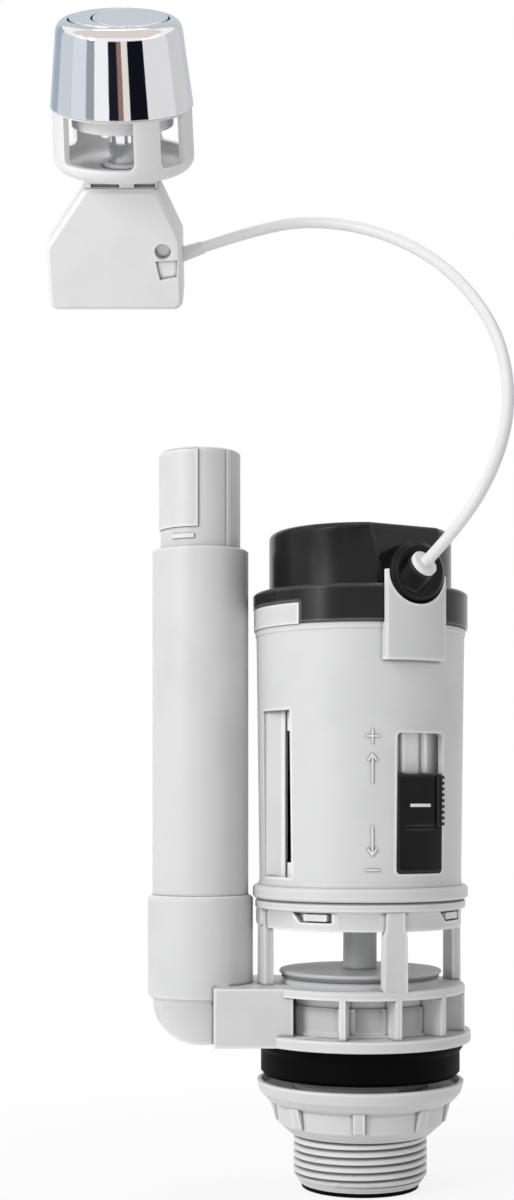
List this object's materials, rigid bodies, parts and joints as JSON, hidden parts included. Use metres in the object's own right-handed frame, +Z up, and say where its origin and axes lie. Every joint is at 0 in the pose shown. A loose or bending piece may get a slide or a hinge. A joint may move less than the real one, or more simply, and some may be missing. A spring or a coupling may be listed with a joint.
{
  "type": "dual flush valve",
  "caption": "Cistern outlet valve with overflow tube, lift stem and seal, volume slider and a cable-operated two-part push button.",
  "frame": {"origin": "on the outlet axis, in the plane where the seal lies on the cistern floor", "axes": "+Z up along the outlet axis, the overflow at -X, the volume slider towards -Y"},
  "size_m": [0.1645, 0.1047, 0.423],
  "materials": {
    "white_plastic": "light grey-white moulded plastic, satin",
    "grey_plastic": "light grey moulded plastic",
    "black_plastic": "black moulded plastic, satin gloss",
    "black_rubber": "black rubber, matt",
    "seal_rubber": "grey silicone rubber",
    "chrome": "bright chrome plating",
    "steel": "plain steel",
    "brass": "plain brass",
    "sheath": "white cable sheath"
  },
  "bodies": {
    "valve": {"valve_base": "white_plastic", "outlet_ring": "black_rubber", "cistern_seal": "black_rubber", "overflow_outer_tube": "white_plastic", "valve_body": "white_plastic", "inner_sleeve": "white_plastic", "top_cap": "black_plastic", "lift_lever_pin": "steel", "cable_socket": "black_plastic", "cable_collar": "sheath", "cable_sheath": "sheath", "box_ferrule": "sheath", "bezel": "chrome", "button_cage": "white_plastic", "plunger_guide": "chrome", "box_front": "white_plastic", "box_rear": "white_plastic", "box_pin": "steel", "lever_spring": "steel"},
    "nut": {"back_nut": "white_plastic"},
    "overflow_inner": {"overflow_inner_tube": "white_plastic", "overflow_o_ring": "black_rubber"},
    "slider": {"volume_slider": "black_plastic"},
    "stem": {"lift_stem": "grey_plastic", "seal_disc": "grey_plastic", "flush_seal": "seal_rubber", "seal_retainer": "grey_plastic", "full_float": "black_plastic"},
    "half_flush_float": {"half_float": "black_plastic"},
    "cap_lever": {"lift_lever": "grey_plastic", "lift_nipple": "brass"},
    "full_push": {"full_button": "chrome", "plunger": "chrome"},
    "half_push": {"half_button": "chrome", "half_rod": "steel"},
    "full_crank": {"full_lever": "grey_plastic", "box_nipple": "brass"},
    "half_crank": {"half_lever": "grey_plastic"}
  },
  "joints": [
    {"name": "nut_slide", "type": "slide", "parent": "valve", "child": "nut", "axis": [0, 0, -1], "range_m": [0, 0.015]},
    {"name": "overflow_height", "type": "slide", "parent": "valve", "child": "overflow_inner", "axis": [0, 0, 1], "range_m": [-0.03, 0.03]},
    {"name": "volume_set", "type": "slide", "parent": "valve", "child": "slider", "axis": [0, 0, 1], "range_m": [0, 0.0138]},
    {"name": "half_float_rise", "type": "slide", "parent": "valve", "child": "half_flush_float", "axis": [0, 0, 1], "range_m": [0, 0.008]},
    {"name": "full_press", "type": "slide", "parent": "valve", "child": "full_push", "axis": [0, 0.557, -0.8305], "range_m": [0, 0.007], "stiffness_N_per_m": 900, "springref_m": -0.004},
    {"name": "half_press", "type": "slide", "parent": "valve", "child": "half_push", "axis": [0, 0.557, -0.8305], "range_m": [0, 0.004], "stiffness_N_per_m": 900, "springref_m": -0.004},
    {"name": "stem_lift", "type": "slide", "parent": "valve", "child": "stem", "axis": [0, 0, 1], "range_m": [0, 0.012]},
    {"name": "cap_lever_turn", "type": "hinge", "parent": "valve", "child": "cap_lever", "pos_m": [-0.00999, 0.0196, 0.176], "axis": [-0.891, -0.454, 0], "range_deg": [0, 35]},
    {"name": "full_crank_turn", "type": "hinge", "parent": "valve", "child": "full_crank", "pos_m": [-0.0995, 0.02306, 0.31322], "axis": [0, 0.8305, 0.557], "range_deg": [0, 31]},
    {"name": "half_crank_turn", "type": "hinge", "parent": "valve", "child": "half_crank", "pos_m": [-0.0995, 0.02306, 0.31322], "axis": [0, 0.8305, 0.557], "range_deg": [0, 17.5]}
  ],
  "couplings": [
    {"joint": "stem_lift", "follows": "full_press", "ratio": 1.7129},
    {"joint": "cap_lever_turn", "follows": "full_press", "rad_per_m": 87.223},
    {"joint": "full_crank_turn", "follows": "full_press", "rad_per_m": 77.254},
    {"joint": "half_crank_turn", "follows": "half_press", "rad_per_m": 76.32}
  ]
}
